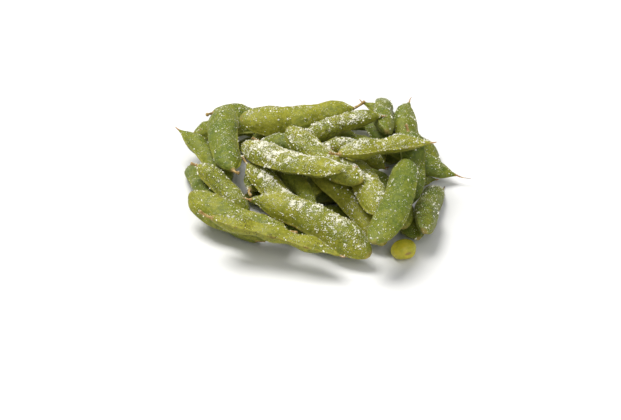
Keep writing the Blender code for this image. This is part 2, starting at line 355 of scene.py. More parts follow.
def smooth(xs, ys, at):
    """A smooth curve through the points (xs, ys), with no overshoot, read at each place in `at`."""
    step = np.diff(xs)
    rise = np.diff(ys) / step
    slope = np.zeros(len(xs))
    before, after = rise[:-1], rise[1:]
    same = before * after > 0
    w1, w2 = 2 * step[1:] + step[:-1], step[1:] + 2 * step[:-1]
    blend = w1[same] / before[same] + w2[same] / after[same]
    slope[1:-1][same] = (w1 + w2)[same] / blend
    slope[0], slope[-1] = rise[0], rise[-1]
    i = np.clip(np.searchsorted(xs, at) - 1, 0, len(xs) - 2)
    t = (at - xs[i]) / step[i]
    ends = ys[i] * (1 + 2 * t) * (1 - t) ** 2 + ys[i + 1] * t * t * (3 - 2 * t)
    return ends + step[i] * (slope[i] * t * (1 - t) ** 2 - slope[i + 1] * t * t * (1 - t))


def soft_step(low, high, at):
    """0 up to `low`, 1 from `high`, and a smooth rise between."""
    t = np.clip((at - low) / (high - low), 0, 1)
    return t * t * (3 - 2 * t)


class Waves:
    """A smooth random field of about unit size: a sum of waves with random directions."""

    def __init__(self, rng, size, stretch=(1, 1, 1), count=22):
        ways = unit(rng.normal(size=(count, 3)))
        lengths = size * rng.uniform(0.7, 1.5, count)
        self.ways = math.tau * ways / lengths[:, None] / np.array(stretch)
        self.phases = rng.uniform(0, math.tau, count)
        self.scale = math.sqrt(2 / count)

    def __call__(self, places):
        return self.scale * np.sin(places @ self.ways.T + self.phases).sum(-1)


# ---- closed tubes


def tube(rows, first, last):
    """(places, faces) of a closed tube through rows of places, with an end point each side."""
    count, sides = rows.shape[:2]
    places = np.concatenate([first[None], rows.reshape(-1, 3), last[None]])
    k = np.arange(sides)
    after = (k + 1) % sides
    here = 1 + np.arange(count - 1)[:, None] * sides
    quads = np.stack([here + k, here + after, here + sides + after, here + sides + k], -1)
    start = np.stack([np.zeros(sides, int), 1 + after, 1 + k], -1)
    final = 1 + (count - 1) * sides
    end = np.stack([final + k, final + after, np.full(sides, final + sides)], -1)
    return places, start.tolist() + quads.reshape(-1, 4).tolist() + end.tolist()


def frames(path, guide=None):
    """(along, across, up) at each point of a path: unit directions, `across` square to the guide."""
    along = unit(np.gradient(path, axis=0))
    if guide is None:
        guide = np.eye(3)[np.argmin(np.abs(along.mean(0)))]
    across = unit(np.cross(along, guide))
    return along, across, np.cross(across, along)


def hose(path, radii, sides=12):
    """(places, faces) of a closed round tube along a path, with rounded ends."""
    along, across, up = frames(path)
    turn = math.tau * np.arange(sides) / sides
    circle = np.cos(turn)[None, :, None] * across[:, None] - np.sin(turn)[None, :, None] * up[:, None]
    rows = path[:, None] + radii[:, None, None] * circle
    return tube(rows, path[0] - along[0] * radii[0] * 0.4, path[-1] + along[-1] * radii[-1] * 0.4)


def facing_out(places, faces):
    """The faces of a closed mesh, all turned round if they face inwards."""
    fans = [(face[0], face[k], face[k + 1]) for face in faces for k in range(1, len(face) - 1)]
    a, b, c = np.moveaxis(places[np.array(fans)] - places.mean(0), 1, 0)
    volume = (a * np.cross(b, c)).sum()
    return faces if volume > 0 else [face[::-1] for face in faces]


class Piece:
    """A mesh gathered from closed tubes, with values at each point for the material."""

    def __init__(self):
        self.places, self.faces, self.values, self.count = [], [], [], 0

    def add(self, places, faces, local, dry, seam):
        """One more tube; dry and seam are one number, or one for each point."""
        self.places.append(places)
        self.faces += [[self.count + i for i in face] for face in facing_out(places, faces)]
        self.values.append((local, np.broadcast_to(dry, len(places)), np.broadcast_to(seam, len(places))))
        self.count += len(places)

    def finish(self, name, material, lowest, **same):
        """The object, cut off flat below `lowest`; each of `same` has one value all over it."""
        places = np.concatenate(self.places)
        places[:, 2] = np.maximum(places[:, 2], lowest)
        mesh = bpy.data.meshes.new(name)
        mesh.from_pydata(places.tolist(), [], self.faces)
        mesh.shade_smooth()
        mesh.materials.append(material)
        local, dry, seam = (np.concatenate(v) for v in zip(*self.values))
        mesh.attributes.new("local", "FLOAT_VECTOR", "POINT").data.foreach_set("vector", local.ravel())
        same = {key: np.full(self.count, value) for key, value in same.items()}
        for key, values in {"dry": dry, "seam": seam, **same}.items():
            mesh.attributes.new(key, "FLOAT", "POINT").data.foreach_set("value", values.ravel())
        return in_scene(name, mesh)


# ---- one pod


class PodForm:
    """A CAD pod's middle line and girth, as smooth functions of the way along it."""

    def __init__(self, obj):
        start, rings, end = rings_of(obj)
        everything = np.concatenate(rings)
        self.along = (end - start) / np.linalg.norm(end - start)
        lift = np.linalg.eigh(np.cov(everything.T))[1][:, 0]
        lift -= self.along * (lift @ self.along)
        lift /= np.linalg.norm(lift)
        if lift[2] < 0:
            lift = -lift
        side = np.cross(lift, self.along)
        self.start = start
        xs, middles, widths, thicks = [], [], [], []
        for ring in rings:
            across = (ring - ring.mean(0)) @ side
            outer, inner = ring[across.argmax()], ring[across.argmin()]
            middle = (outer + inner) / 2
            xs.append((middle - start) @ self.along)
            middles.append(middle - start)
            widths.append(np.linalg.norm(outer - inner) / 2)
            thicks.append(((ring - middle) @ lift).max() / SIDE_OF_RING)
        self.xs, middles = np.array(xs), np.array(middles)
        self.widths, self.thicks = np.array(widths), np.array(thicks)
        self.end_x = (end - start) @ self.along
        bow = np.polyfit(self.xs, middles @ side, 2)
        if bow[0] < 0:  # side points to the inner edge, the way the two ends bend
            side, bow = -side, -bow
        self.side, self.lift = side, lift
        self.bow, self.rise = bow, np.polyfit(self.xs, middles @ lift, 1)
        self.stalked = self.widths[0] < STALK_HALF_WIDTH
        self.blunt = self.widths[-1] > BLUNT_SHARE * self.widths.max()

    def line(self, x):
        """Places on the middle line, and the direction of the inner edge there."""
        x = np.asarray(x, float)
        offset = np.polyval(self.bow, x)
        tilt = np.polyval(np.polyder(self.bow), x)
        place = (
            self.start
            + x[..., None] * self.along
            + offset[..., None] * self.side
            + np.polyval(self.rise, x)[..., None] * self.lift
        )
        return place, unit(self.side - tilt[..., None] * self.along)


def girth_of_pod(form, wavy, s):
    """(x, width, thick, waist) at each share s of the way along; waist is 1 deep between two beans."""
    first = STALK_RINGS if form.stalked else 0
    x0 = form.xs[first] - CAP_REACH
    xs = np.concatenate([[x0], form.xs[first:], [form.end_x]])
    widths = np.concatenate([[0], form.widths[first:], [0]])
    thicks = np.concatenate([[0], form.thicks[first:], [0]])
    x = x0 + (form.end_x - x0) * s
    # squared, an end comes out round; plain, it comes out as a point
    pointed = np.zeros_like(s) if form.blunt else soft_step(*POINTED_FROM, s)

    def girth(values):
        plain = smooth(xs, values, x)
        full = np.sqrt(np.maximum(smooth(xs, values**2, x), 0))
        return full * (1 - pointed) + plain * pointed

    width, thick = girth(widths), girth(thicks)
    # between the beans the hull draws in: found by bridging the beans' own girths
    beans = [i for i in range(1, len(xs) - 1) if thicks[i] >= thicks[i - 1] and thicks[i] >= thicks[i + 1]]
    hull = sorted({0, 1, *beans, len(xs) - 2, len(xs) - 1})

    def bridged(values, plain):
        return np.maximum(np.sqrt(np.maximum(smooth(xs[hull], values[hull] ** 2, x), 0)), plain)

    full_width, full_thick = bridged(widths, width), bridged(thicks, thick)
    waist = wavy * np.clip(1 - thick / np.maximum(full_thick, 1e-6), 0, 0.4) / MOST_DRAWN_IN
    return x, full_width + wavy * (width - full_width), full_thick + wavy * (thick - full_thick), waist


def seam_ridge(away, furrow, furrow_at):
    """Profile across a seam: a raised line with a shallow furrow beside it."""
    beside = away - furrow_at * RIB_REACH
    return np.exp(-((away / RIB_REACH) ** 2)) - furrow * np.exp(-((beside / RIB_REACH) ** 2))


def outward(rows, middle):
    """The outward direction at each place of a tube's rows."""
    normal = np.cross(np.roll(rows, -1, axis=1) - np.roll(rows, 1, axis=1), np.gradient(rows, axis=0))
    normal = normal / np.maximum(np.linalg.norm(normal, axis=2, keepdims=True), 1e-12)
    inwards = (normal * (rows - middle[:, None])).sum(-1, keepdims=True).mean() < 0
    return normal * np.where(inwards, -1, 1)


def body_of_pod(form, wavy, rng):
    """(rows, first, last, local, seam, dry) of the pod's green hull."""
    s = np.linspace(0, 1, ALONG + 2)
    s = (1 - END_CROWDING) * s + END_CROWDING * (1 - np.cos(math.pi * s)) / 2
    x, width, thick, waist = girth_of_pod(form, wavy, s)

    # a lens, fuller over a bean and round at the ends
    turn = math.tau * np.arange(AROUND) / AROUND
    cos, sin = np.cos(turn), np.sin(turn)
    pinched = np.clip(waist, 0, 1)
    power = FULL_BEAN + (THIN_WAIST - FULL_BEAN) * pinched
    ends = 1 - soft_step(0, ENDS_WITHIN[0], s) * (1 - soft_step(ENDS_WITHIN[1], 1, s))
    power = power * (1 - END_POWER * ends) + END_POWER * ends
    lens = np.sign(sin)[None] * np.abs(sin)[None] ** power[:, None]
    scallop = 1 - SCALLOP * pinched[:, None] * (cos[None] < 0)
    y = width[:, None] * cos[None] * scallop
    z = thick[:, None] * lens

    # the beak hooks a little towards the inner edge, and the hull twists a few degrees
    hook = soft_step(HOOK_FROM, 1.0, s) ** 1.5 * rng.uniform(*HOOK_MM) * MM
    hook = hook * (BLUNT_HOOK if form.blunt else 1)
    twist = math.radians(rng.uniform(-MOST_TWIST, MOST_TWIST)) * (2 * s - 1)
    y, z = (
        y * np.cos(twist)[:, None] - z * np.sin(twist)[:, None],
        y * np.sin(twist)[:, None] + z * np.cos(twist)[:, None],
    )
    middle, inner = form.line(x)
    rows = middle[:, None] + (y + hook[:, None])[..., None] * inner[:, None] + z[..., None] * form.lift

    # seams, dents and wrinkles
    local = np.stack([np.broadcast_to(x[:, None], y.shape), y, z], -1)
    away = np.minimum(turn, math.tau - turn)
    back = np.abs(turn - math.pi)
    rib = RIB_HEIGHT * seam_ridge(away, *FURROW)
    rib += BACK_RIB_HEIGHT * seam_ridge(back, *BACK_FURROW)
    dents = Waves(rng, DENT_SIZE, (1.3, 1, 1))(local)
    wrinkles = Waves(rng, WRINKLE_SIZE, (3.2, 1, 1), 40)(local)
    wrinkles *= 0.5 + 0.5 * Waves(rng, WRINKLE_PATCH)(local)
    cheek = np.abs(sin)[None] ** 0.5
    height = rib[None] + DENT_DEPTH * dents * cheek + WRINKLE_DEPTH * wrinkles * (0.6 + waist[:, None])
    fade = soft_step(0.0, RELIEF_WITHIN[0], s) * (1 - soft_step(RELIEF_WITHIN[1], 1.0, s))
    rows = rows + outward(rows, middle) * (fade[:, None] * height)[..., None]

    # what the material reads: how near a seam, and how dry
    seam = np.exp(-((away / SEAM_REACH) ** 2)) + BACK_SEAM * np.exp(-((back / BACK_SEAM_REACH) ** 2))
    seam = np.broadcast_to(seam[None], y.shape)
    blotch = Waves(rng, BLOTCH_SIZE)(local)
    ragged = RAGGED * blotch * soft_step(RAGGED_FROM, 1, s)[:, None]
    dry = np.clip(soft_step(DRY_FROM, 1.0, s)[:, None] * 1.2 + ragged, 0, 1)
    dry = dry * (BLUNT_DRY if form.blunt else 1.0)
    root_dry = STALK_END_DRY if form.stalked else SCAR_DRY
    dry = np.maximum(dry, root_dry * (1 - soft_step(0.0, SCAR_REACH, s))[:, None])
    return rows[1:-1], rows[0].mean(0), rows[-1].mean(0), local, seam, dry


def bent_path(start, way, bend, length, count):
    """Places along a curve that leaves `start` in direction `way` and turns towards `bend`."""
    places = [np.array(start, float)]
    for k in range(count):
        share = (k + 1) / count
        step = way + bend * share
        places.append(places[-1] + step / np.linalg.norm(step) * length / count)
    return np.array(places)


def sepal(root, way, out, length, width, rng):
    """(places, faces) of one dried flap of the calyx: a thin pointed blade that leans off the hull."""
    path = bent_path(root, way, out * rng.uniform(0.1, 0.7), length, 7)
    along, across, up = frames(path, out)
    share = np.linspace(0, 1, len(path))
    half = width / 2 * np.sqrt(np.maximum(1 - share, 0.02)) * (0.75 + 0.25 * np.sin(share * math.pi))
    turn = math.tau * np.arange(8) / 8
    thin = SEPAL_THICKNESS * (1 - 0.5 * share)
    circle = half[:, None, None] * np.cos(turn)[None, :, None] * across[:, None]
    circle = circle - (thin[:, None] * np.sin(turn)[None])[..., None] * up[:, None]
    curl = (half[:, None] * np.abs(np.cos(turn)) * -0.35)[..., None] * up[:, None]
    rows = path[:, None] + circle + curl
    return tube(rows, path[0] - along[0] * (0.2 * MM), path[-1] + along[-1] * (0.3 * MM))


def add_stalk(piece, form, rng):
    """Add the dried stalk, and return where the calyx sits: (collar, reach, way off the hull, inner side)."""
    root, inner = form.line(form.xs[STALK_RINGS] + 0.4 * MM)
    tip, _ = form.line(form.xs[0])
    length = np.linalg.norm(tip - root)
    way = (tip - root) / length
    bend = form.lift * rng.uniform(0.2, 0.9) + inner * rng.uniform(-1.1, 1.1)
    path = bent_path(root, way, bend, length + rng.uniform(0.3, 1.6) * MM, 13)
    share = np.linspace(0, 1, len(path))
    radii = (STALK_RADIUS - STALK_NECK * np.sin(share * math.pi * 0.9) + STALK_FLARE * share) * MM
    radii *= 1 + 0.08 * rng.normal(size=len(path))
    made = hose(path, radii)
    piece.add(*made, made[0] - form.start, STALK_DRY, 0)
    return root - way * 0.2 * MM, 1.15 * MM, way, inner


def add_calyx(piece, form, collar, reach, way, inner, rng):
    """Add the dried flaps round the stalk end, which lean back over the hull."""
    for k in range(SEPALS):
        turn = math.tau * (k + rng.uniform(-0.2, 0.2)) / SEPALS
        out = math.cos(turn) * inner + math.sin(turn) * form.lift
        made = sepal(
            collar + out * reach * (0.8 if abs(math.sin(turn)) > 0.5 else 1.0),
            -way + out * rng.uniform(0.35, 0.8),
            out,
            rng.uniform(*SEPAL_LENGTH) * MM,
            rng.uniform(*SEPAL_WIDTH) * MM,
            rng,
        )
        piece.add(*made, made[0] - form.start, rng.uniform(0.75, 1.0), 0)


def add_wisp(piece, form, name, beak, rng):
    """Add the dried wisp of the flower on the beak."""
    length = WISP.get(name, USUAL_WISP * rng.uniform(0.6, 1.5)) * MM
    _, inner = form.line(form.end_x)
    bend = inner * rng.uniform(0.3, 1.0) + form.lift * rng.uniform(-0.2, 0.7)
    path = bent_path(beak - form.along * 0.5 * MM, form.along, bend, length + 0.5 * MM, 12)
    radii = np.linspace(*WISP_RADII, len(path)) * MM * (1 + 0.15 * rng.normal(size=len(path)))
    made = hose(path, radii, 8)
    piece.add(*made, made[0] - form.start, 1.0, 0)


def make_pod(name, cad, material, rng):
    """One pod: its green hull, and the stalk, calyx and wisp that it kept."""
    form = PodForm(cad)
    piece = Piece()
    rows, first, last, local, seam, dry = body_of_pod(form, WAVY.get(name, USUAL_WAVY), rng)
    ends = np.array([[local[0, 0, 0], 0, 0], [local[-1, 0, 0], 0, 0]])
    flat_local = np.concatenate([ends[:1], local[1:-1].reshape(-1, 3), ends[1:]])
    flat_seam = np.concatenate([[0], seam[1:-1].ravel(), [0]])
    flat_dry = np.concatenate([[dry[0].mean()], dry[1:-1].ravel(), [dry[-1].mean()]])
    piece.add(*tube(rows, first, last), flat_local, flat_dry, flat_seam)

    if form.stalked:
        calyx = add_stalk(piece, form, rng)
    else:
        root, inner = form.line(form.xs[0] + 0.2 * MM)
        calyx = root + form.along * 0.2 * MM, 1.5 * MM, -form.along, inner
    if form.stalked or rng.uniform() < LEFT_CALYX:
        add_calyx(piece, form, *calyx, rng)
    if not form.blunt:
        add_wisp(piece, form, name, last, rng)

    kind = {"green": GREEN.get(name, USUAL_GREEN), "freckled_and_shaded": FRECKLED_AND_SHADED.get(name, USUAL_FRECKLED_AND_SHADED)}
    obj = piece.finish("looks_" + name, material, max(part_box(name)[0].z, 0.0), **kind)
    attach(obj, "root")
    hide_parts(name)
    return obj


# ---- the shelled bean


def make_bean(cad, material, rng):
    """The bean: a boxy round with a hollow along its hilum and a line where its halves meet."""
    places, _ = welded(cad)
    middle = (places.max(0) + places.min(0)) / 2
    along = np.linalg.eigh(np.cov(places[:, :2].T))[1][:, 1]
    along = np.array([*along, 0.0])
    if along[0] < 0:
        along = -along
    side = np.cross((0, 0, 1), along)
    half = np.abs((places - middle) @ along).max()
    wide = np.abs((places - middle) @ side).max()
    low, high = places[:, 2].min(), places[:, 2].max()
    tall = (high - low) / 2
    angle = math.pi * np.arange(1, BEAN_RINGS + 1) / (BEAN_RINGS + 1)
    turn = math.tau * np.arange(BEAN_SIDES) / BEAN_SIDES

    def boxy(share, power):
        return np.sign(share) * np.abs(share) ** power

    along_power, girth_power, section_power = BEAN_POWERS
    x = -half * boxy(np.cos(angle), along_power)[:, None] * np.ones(BEAN_SIDES)
    radius = boxy(np.sin(angle), girth_power)[:, None]
    y = wide * radius * boxy(np.cos(turn), section_power)[None]
    z = tall * radius * boxy(np.sin(turn), section_power)[None]
    # a shallow hollow along the hilum, on the side away from the heap, and the line between the two halves
    hilum = np.exp(-((x / (0.42 * half)) ** 2) - ((z - 0.15 * tall) / (0.22 * tall)) ** 2) * (y < 0)
    y = y + hilum * HILUM_DEPTH
    split = np.exp(-(((z - 0.42 * tall) / (0.07 * tall)) ** 2)) * (1 - (x / half) ** 4) * (y < 0)
    y = y + split * SPLIT_DEPTH
    local = np.stack([x, y, z], -1)
    lumps = Waves(rng, LUMP_SIZE)(local) * LUMP_HEIGHT
    lumps = lumps + Waves(rng, GRAIN_SIZE, (2.5, 1, 1), 40)(local) * GRAIN_HEIGHT
    scale = 1 + lumps / np.maximum(np.linalg.norm(local, axis=-1), 1e-6)
    rows = middle + (local * scale[..., None]) @ np.stack([along, side, (0, 0, 1)])
    made = tube(rows, middle - along * half, middle + along * half)
    ends = np.array([[-half, 0, 0], [half, 0, 0]])
    flat_local = np.concatenate([ends[:1], local.reshape(-1, 3), ends[1:]])
    piece = Piece()
    piece.add(*made, flat_local, 0, np.concatenate([[0], hilum.ravel(), [0]]))
    obj = piece.finish("looks_loose_bean", material, low)
    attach(obj, "root")
    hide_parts("loose_bean")


# ---- salt


def salt_places(pods, wanted, gathered, rng, cover):
    """(places, normals) of up to `wanted` crystals on the pods' upper sides, where little covers them."""
    all_places, all_normals, all_weights = [], [], []
    for name, obj in pods.items():
        centres, normals, areas = face_data(obj.data)
        facing = np.clip(normals[:, 2] - LEAST_FACING, 0, None) ** 1.2
        thrown = np.ones(len(areas))
        for x, y, reach, times in HANDFULS:
            away = np.hypot(centres[:, 0] - x * MM, centres[:, 1] - y * MM) / (reach * MM)
            thrown += times * np.exp(-(away**2))
        all_places.append(centres)
        all_normals.append(normals)
        all_weights.append(areas * facing * (thrown * SALT.get(name, USUAL_SALT)) ** gathered)
    places, normals = np.concatenate(all_places), np.concatenate(all_normals)
    weights = np.concatenate(all_weights)
    clumps = 0.7 * Waves(rng, CLUMP_SIZE, count=30)(places)
    clumps = clumps + 0.8 * Waves(rng, SMALL_CLUMP_SIZE, count=40)(places)
    weights = weights * np.exp(CLUMPING * gathered * clumps)
    picked = rng.choice(len(places), size=int(wanted * SPARE_TRIES), p=weights / weights.sum())
    kept_places, kept_normals = [], []
    for i in picked:
        place, normal = Vector(places[i]), Vector(normals[i])
        covered = cover.ray_cast(place + normal * COVER_CLEARANCE, Vector((0, 0, 1)), COVER_REACH)[0]
        if covered and rng.uniform() > SIFTED_THROUGH:
            continue
        jitter = rng.normal(size=3) * SALT_JITTER
        kept_places.append(places[i] + jitter - normals[i] * (jitter @ normals[i]))
        kept_normals.append(normals[i])
        if len(kept_places) == wanted:
            break
    return np.array(kept_places), np.array(kept_normals)


def random_turns(rng, count):
    """Random rotation matrices, from random unit quaternions."""
    w, x, y, z = unit(rng.normal(size=(count, 4))).T
    return np.stack(
        [
            np.stack([1 - 2 * (y * y + z * z), 2 * (x * y - z * w), 2 * (x * z + y * w)], -1),
            np.stack([2 * (x * y + z * w), 1 - 2 * (x * x + z * z), 2 * (y * z - x * w)], -1),
            np.stack([2 * (x * z - y * w), 2 * (y * z + x * w), 1 - 2 * (x * x + y * y)], -1),
        ],
        1,
    )


# ---- many small parts in one mesh

CUBE = np.array([(x, y, z) for x in (-0.5, 0.5) for y in (-0.5, 0.5) for z in (-0.5, 0.5)])
CUBE_FACES = np.array([(0, 1, 3, 2), (4, 6, 7, 5), (0, 4, 5, 1), (2, 3, 7, 6), (0, 2, 6, 4), (1, 5, 7, 3)])
OCTAHEDRON = 0.62 * np.array([(1, 0, 0), (-1, 0, 0), (0, 1, 0), (0, -1, 0), (0, 0, 1), (0, 0, -1)])
OCTAHEDRON_FACES = np.array(
    [(0, 2, 4), (2, 1, 4), (1, 3, 4), (3, 0, 4), (2, 0, 5), (1, 2, 5), (3, 1, 5), (0, 3, 5)]
)
HAIR_FACES = np.array([(0, 2, 1), (0, 1, 3), (1, 2, 3), (2, 0, 3)])

# where the corners go in a part's cell of the map: each face of a crystal covers the whole cell
SQUARE = np.array([(0, 0), (1, 0), (1, 1), (0, 1)], float)
HALF = np.array([(0, 0), (1, 0), (0, 1)], float)
HAIR_CELL = np.array([(0, 0), (1, 0), (0, 1), (1, 1)], float)[HAIR_FACES].reshape(-1, 2)


def grid_map(mesh, count, corners_in_cell):
    """A UV map to bake on, with one cell of a grid for each of `count` alike parts."""
    side = math.ceil(math.sqrt(count))
    own = np.arange(count)
    corner = np.stack([own % side, own // side], -1)[:, None]
    places = (corner + 0.06 + 0.88 * corners_in_cell[None]) / side
    mesh.uv_layers.new(name="OFBake").uv.foreach_set("vector", places.astype(np.float32).ravel())


def alike_parts(name, corners, faces, corners_in_cell, material):
    """One object of many closed parts: corners[part, corner] are places, and all have the same faces."""
    count, own_corners = corners.shape[:2]
    own_faces = faces[None] + own_corners * np.arange(count)[:, None, None]
    mesh = bpy.data.meshes.new(name)
    mesh.from_pydata(corners.reshape(-1, 3).tolist(), [], own_faces.reshape(-1, faces.shape[1]).tolist())
    mesh.materials.append(material)
    grid_map(mesh, count, corners_in_cell)
    obj = in_scene(name, mesh)
    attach(obj, "root")
    return obj


def make_salt(name, places, normals, sizes, raised, shape, faces, material, rng):
    """Many small irregular crystals in one mesh, each sitting on the pod under it."""
    count = len(places)
    stretch = rng.uniform(0.65, 1.35, (count, 1, 3)) * rng.uniform(0.82, 1.18, (count, len(shape), 3))
    local = shape[None] * stretch * sizes[:, None, None]
    turned = np.einsum("nij,nkj->nki", random_turns(rng, count), local)
    centres = places + normals * (sizes * raised)[:, None]
    in_cell = np.tile(SQUARE if faces.shape[1] == 4 else HALF, (len(faces), 1))
    alike_parts(name, centres[:, None] + turned, faces, in_cell, material)


def sprinkle(pods, nodes):
    """The coarse crystals and the fine dust on the pods."""
    corners, triangles = [], []
    for name in sorted(nodes):
        places, faces = welded(nodes[name])
        triangles += (faces + len(corners)).tolist()
        corners += places.tolist()
    cover = BVHTree.FromPolygons(corners, triangles)
    crystal = salt_material()
    rng = np.random.default_rng(SALT_SEED)
    places, normals = salt_places(pods, CRYSTALS, CRYSTALS_GATHERED, rng, cover)
    sizes = rng.lognormal(math.log(CRYSTAL_SIZE), CRYSTAL_SPREAD, len(places))
    sizes = np.clip(sizes, SMALLEST_CRYSTAL, LARGEST_CRYSTAL)
    make_salt("salt_crystals", places, normals, sizes, CRYSTAL_RAISED, CUBE, CUBE_FACES, crystal, rng)
    places, normals = salt_places(pods, DUST, DUST_GATHERED, rng, cover)
    sizes = rng.uniform(*DUST_SIZES, len(places))
    make_salt("salt_dust", places, normals, sizes, DUST_RAISED, OCTAHEDRON, OCTAHEDRON_FACES, crystal, rng)


# ---- hairs


def hull_points(mesh, rng):
    """(places, normals) spread evenly over the green hull of a pod."""
    centres, normals, areas = face_data(mesh)
    areas = areas[:HULL_FACES]
    wanted = int(areas.sum() * 1e6 * HAIRS_PER_MM2)
    picked = rng.choice(HULL_FACES, size=wanted, p=areas / areas.sum())
    jitter = rng.normal(size=(wanted, 3)) * HAIR_JITTER
    normals = normals[picked]
    jitter -= normals * (jitter * normals).sum(1)[:, None]
    return centres[picked] + jitter, normals


def make_hairs(name, places, normals, material, rng):
    """Many thin three-sided needles in one mesh, each rooted in the hull and leaning its own way."""
    count = len(places)
    ways = unit(normals + rng.normal(size=(count, 3)) * HAIR_LEAN)
    across = unit(np.cross(ways, rng.normal(size=(count, 3))))
    up = np.cross(ways, across)
    radius = HAIR_RADIUS * rng.uniform(0.8, 1.3, (count, 1))
    roots = places - normals * HAIR_ROOT_DEPTH
    third = math.tau / 3
    corners = [roots + radius * (math.cos(third * k) * across + math.sin(third * k) * up) for k in range(3)]
    corners.append(roots + ways * HAIR_LENGTH * rng.uniform(0.55, 1.35, (count, 1)))
    corners = np.stack(corners, 1)
    corners[..., 2] = np.maximum(corners[..., 2], HAIR_CLEARANCE)
    alike_parts(name, corners, HAIR_FACES, HAIR_CELL, material)


def grow_hairs(pods):
    """The short hairs of all the pods, in pieces small enough to be exported with every hair."""
    rng = np.random.default_rng(HAIR_SEED)
    spread = [hull_points(pods[name].data, rng) for name in sorted(pods)]
    roots, ways = (np.concatenate(found) for found in zip(*spread))
    hair = hair_material()
    pieces = math.ceil(len(roots) / MOST_HAIRS_IN_A_PIECE)
    for k, own in enumerate(zip(np.array_split(roots, pieces), np.array_split(ways, pieces))):
        make_hairs(f"pod_hairs_{k + 1}", *own, hair, rng)


# ---- materials: a noise's scale is per metre, so 1500 makes marks a little under a millimetre


class Nodes:
    """Short names for building a material's node tree."""

    def __init__(self, name):
        self.material = bpy.data.materials.new(name)
        self.material.use_nodes = True
        self.tree = self.material.node_tree
        self.shader = self.tree.nodes["Principled BSDF"]

    def link(self, source, target):
        self.tree.links.new(source, target)

    def feed(self, name, source):
        """Link a source to one of the shader's own sockets."""
        self.link(source, self.shader.inputs[name])

    def attribute(self, name, output="Fac"):
        node = self.tree.nodes.new("ShaderNodeAttribute")
        node.attribute_type, node.attribute_name = "GEOMETRY", name
        return node.outputs[output]

    def object_places(self):
        return self.tree.nodes.new("ShaderNodeTexCoord").outputs["Object"]

    def stretched(self, vector, scale):
        node = self.tree.nodes.new("ShaderNodeMapping")
        node.inputs["Scale"].default_value = scale
        self.link(vector, node.inputs["Vector"])
        return node.outputs["Vector"]

    def noise(self, vector, scale, detail=3.0, roughness=0.55):
        node = self.tree.nodes.new("ShaderNodeTexNoise")
        node.inputs["Scale"].default_value = scale
        node.inputs["Detail"].default_value = detail
        node.inputs["Roughness"].default_value = roughness
        self.link(vector, node.inputs["Vector"])
        return node.outputs["Fac"]

    def cells(self, vector, scale):
        node = self.tree.nodes.new("ShaderNodeTexVoronoi")
        node.inputs["Scale"].default_value = scale
        self.link(vector, node.inputs["Vector"])
        return node.outputs["Distance"]

    def ranged(self, value, low, high, to_low=0.0, to_high=1.0):
        """A smooth change from to_low, where the value is `low`, to to_high, where it is `high`."""
        node = self.tree.nodes.new("ShaderNodeMapRange")
        node.interpolation_type = "SMOOTHSTEP"
        self.link(value, node.inputs["Value"])
        for key, number in (("From Min", low), ("From Max", high), ("To Min", to_low), ("To Max", to_high)):
            node.inputs[key].default_value = number
        return node.outputs["Result"]

    def maths(self, operation, a, b):
        node = self.tree.nodes.new("ShaderNodeMath")
        node.operation = operation
        for socket, value in zip(node.inputs, (a, b)):
            if isinstance(value, (int, float)):
                socket.default_value = value
            else:
                self.link(value, socket)
        return node.outputs[0]

    def mix(self, factor, a, b):
        node = self.tree.nodes.new("ShaderNodeMix")
        node.data_type = "RGBA"
        for socket, value in ((node.inputs[0], factor), (node.inputs[6], a), (node.inputs[7], b)):
            if isinstance(value, (int, float)):
                socket.default_value = value
            elif isinstance(value, tuple):
                socket.default_value = (*value, 1)
            else:
                self.link(value, socket)
        return node.outputs[2]

    def bump(self, height, strength, distance, under=None):
        node = self.tree.nodes.new("ShaderNodeBump")
        node.inputs["Strength"].default_value = strength
        node.inputs["Distance"].default_value = distance
        self.link(height, node.inputs["Height"])
        if under is not None:
            self.link(under, node.inputs["Normal"])
        return node.outputs["Normal"]

    def constants(self, **values):
        """Numbers and colours on the shader's own sockets; _ stands for a space in a socket's name."""
        for key, value in values.items():
            self.shader.inputs[key.replace("_", " ")].default_value = value


